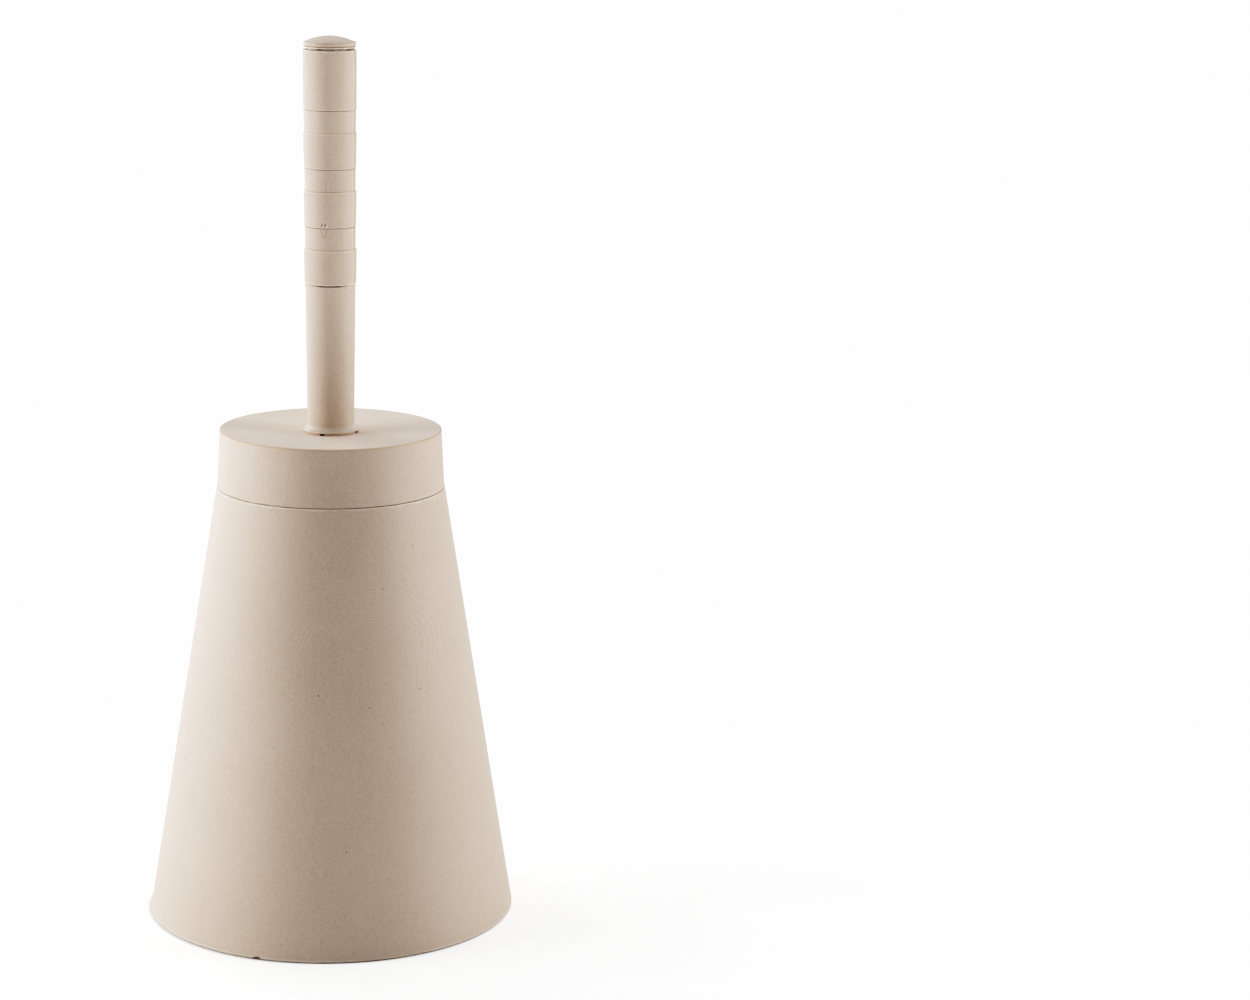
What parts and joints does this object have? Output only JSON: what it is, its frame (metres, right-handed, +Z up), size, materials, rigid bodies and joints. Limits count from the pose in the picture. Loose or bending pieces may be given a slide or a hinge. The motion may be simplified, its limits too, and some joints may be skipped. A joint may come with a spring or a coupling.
{
  "type": "toilet brush set",
  "caption": "Free-standing toilet brush set: a tall conical holder with a lid that rides on the brush, a banded round handle, and a round-nosed brush head of bristle tufts.",
  "frame": {"origin": "centre of the holder's foot circle, on the floor", "axes": "+Z up along the common axis of holder, lid and brush; the part is round, so +X and +Y are free; the front is -Y"},
  "size_m": [0.1558, 0.1558, 0.3736],
  "materials": {
    "moulded_plastic": "fine matt moulded surface, warm beige",
    "bristle_fibre": "round cut filaments, dark warm grey-brown",
    "staple_metal": "flat wire, cut and bent"
  },
  "bodies": {
    "holder": {"holder_cone": "moulded_plastic", "holder_base": "moulded_plastic"},
    "lid": {"lid_cap": "moulded_plastic"},
    "brush": {"handle_neck": "moulded_plastic", "handle_grip": "moulded_plastic", "handle_end_cap": "moulded_plastic", "brush_stem": "moulded_plastic", "head_core": "moulded_plastic", "tuft_anchors": "staple_metal", "bristle_row_nose": "bristle_fibre", "bristle_row_1": "bristle_fibre", "bristle_row_2": "bristle_fibre", "bristle_row_3": "bristle_fibre", "bristle_row_4": "bristle_fibre", "bristle_row_5": "bristle_fibre", "bristle_row_6": "bristle_fibre"}
  },
  "joints": [
    {"name": "brush_lift", "type": "slide", "parent": "holder", "child": "lid", "axis": [0, 0, 1], "range_m": [0, 0.2]},
    {"name": "brush_turn", "type": "hinge", "parent": "lid", "child": "brush", "pos_m": [0, 0, 0.2], "axis": [0, 0, 1], "continuous": true}
  ]
}
